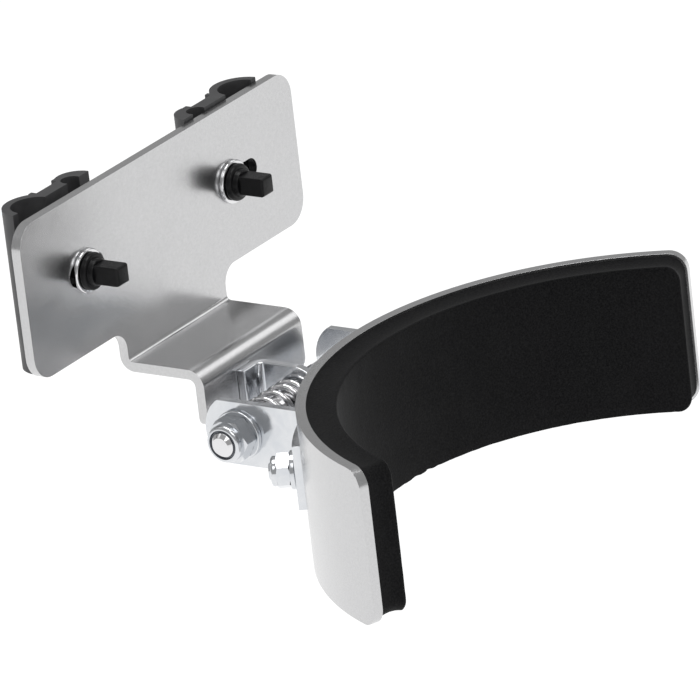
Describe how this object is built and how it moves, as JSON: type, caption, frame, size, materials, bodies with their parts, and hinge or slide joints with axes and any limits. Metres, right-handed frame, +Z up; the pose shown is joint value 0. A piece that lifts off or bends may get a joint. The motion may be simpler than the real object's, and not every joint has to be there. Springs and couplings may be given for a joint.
{
  "type": "clamp-on drum leg rest",
  "caption": "Slotted steel plate with plastic clips and drum-key screws, stepped down to a hinge that carries a curved, foam-lined leg pad.",
  "frame": {"origin": "centre of the mounting plate's back face", "axes": "+X along the plate's width, +Y out of the plate's back towards the drum, +Z up; the pad stands in front, at -Y"},
  "size_m": [0.1868, 0.1571, 0.1049],
  "materials": {
    "satin_steel": "satin nickel plate over fine polishing marks",
    "zinc_plate": "bright zinc plate",
    "bright_chrome": "bright chrome plate",
    "black_oxide": "black oxide, lightly oiled",
    "black_plastic": "fine moulded texture",
    "nylon_ring": "plain nylon",
    "black_foam": "fine closed-cell foam with a matt skin"
  },
  "bodies": {
    "mounting_frame": {"mounting_plate": "satin_steel", "pivot_lug": "zinc_plate"},
    "clamp_left": {"clamp_washer_left": "bright_chrome"},
    "screw_left": {"clamp_screw_left": "black_oxide"},
    "jaw_left": {"clip_left": "black_plastic", "clamp_nut_left": "zinc_plate"},
    "clamp_right": {"clamp_washer_right": "bright_chrome"},
    "screw_right": {"clamp_screw_right": "black_oxide"},
    "jaw_right": {"clip_right": "black_plastic", "clamp_nut_right": "zinc_plate"},
    "leg_pad": {"hinge_bracket_left": "zinc_plate", "hinge_bracket_right": "zinc_plate", "hinge_bolt": "bright_chrome", "hinge_washer_left": "zinc_plate", "hinge_washer_right": "zinc_plate", "hinge_nut": "zinc_plate", "hinge_nut_insert": "nylon_ring", "hinge_spring": "bright_chrome", "hinge_sleeve": "zinc_plate", "pad_plate": "satin_steel", "pad_foam": "black_foam", "pad_screw_left": "zinc_plate", "pad_screw_right": "zinc_plate", "pad_washer_left": "zinc_plate", "pad_washer_right": "zinc_plate", "pad_nut_left": "zinc_plate", "pad_nut_right": "zinc_plate", "pad_nut_insert_left": "nylon_ring", "pad_nut_insert_right": "nylon_ring"}
  },
  "joints": [
    {"name": "pad_swing", "type": "hinge", "parent": "mounting_frame", "child": "leg_pad", "pos_m": [0, -0.0454, -0.052], "axis": [-1, 0, 0], "range_deg": [-60, 90]},
    {"name": "clamp_shift_left", "type": "slide", "parent": "mounting_frame", "child": "clamp_left", "axis": [1, 0, 0], "range_m": [-0.0054, 0.006]},
    {"name": "screw_turn_left", "type": "hinge", "parent": "clamp_left", "child": "screw_left", "pos_m": [-0.0423, 0, 0.0005], "axis": [0, 1, 0], "range_deg": [-2880, 1080]},
    {"name": "clip_draw_left", "type": "slide", "parent": "clamp_left", "child": "jaw_left", "axis": [0, -1, 0], "range_m": [-0.008, 0.003]},
    {"name": "clamp_shift_right", "type": "slide", "parent": "mounting_frame", "child": "clamp_right", "axis": [1, 0, 0], "range_m": [-0.0003, 0.0111]},
    {"name": "screw_turn_right", "type": "hinge", "parent": "clamp_right", "child": "screw_right", "pos_m": [0.0366, 0, 0.0005], "axis": [0, 1, 0], "range_deg": [-3960, 72]},
    {"name": "clip_draw_right", "type": "slide", "parent": "clamp_right", "child": "jaw_right", "axis": [0, -1, 0], "range_m": [-0.011, 0.0002]}
  ],
  "couplings": [
    {"joint": "screw_turn_left", "follows": "clip_draw_left", "rad_per_m": 6283.2},
    {"joint": "screw_turn_right", "follows": "clip_draw_right", "rad_per_m": 6283.2}
  ]
}
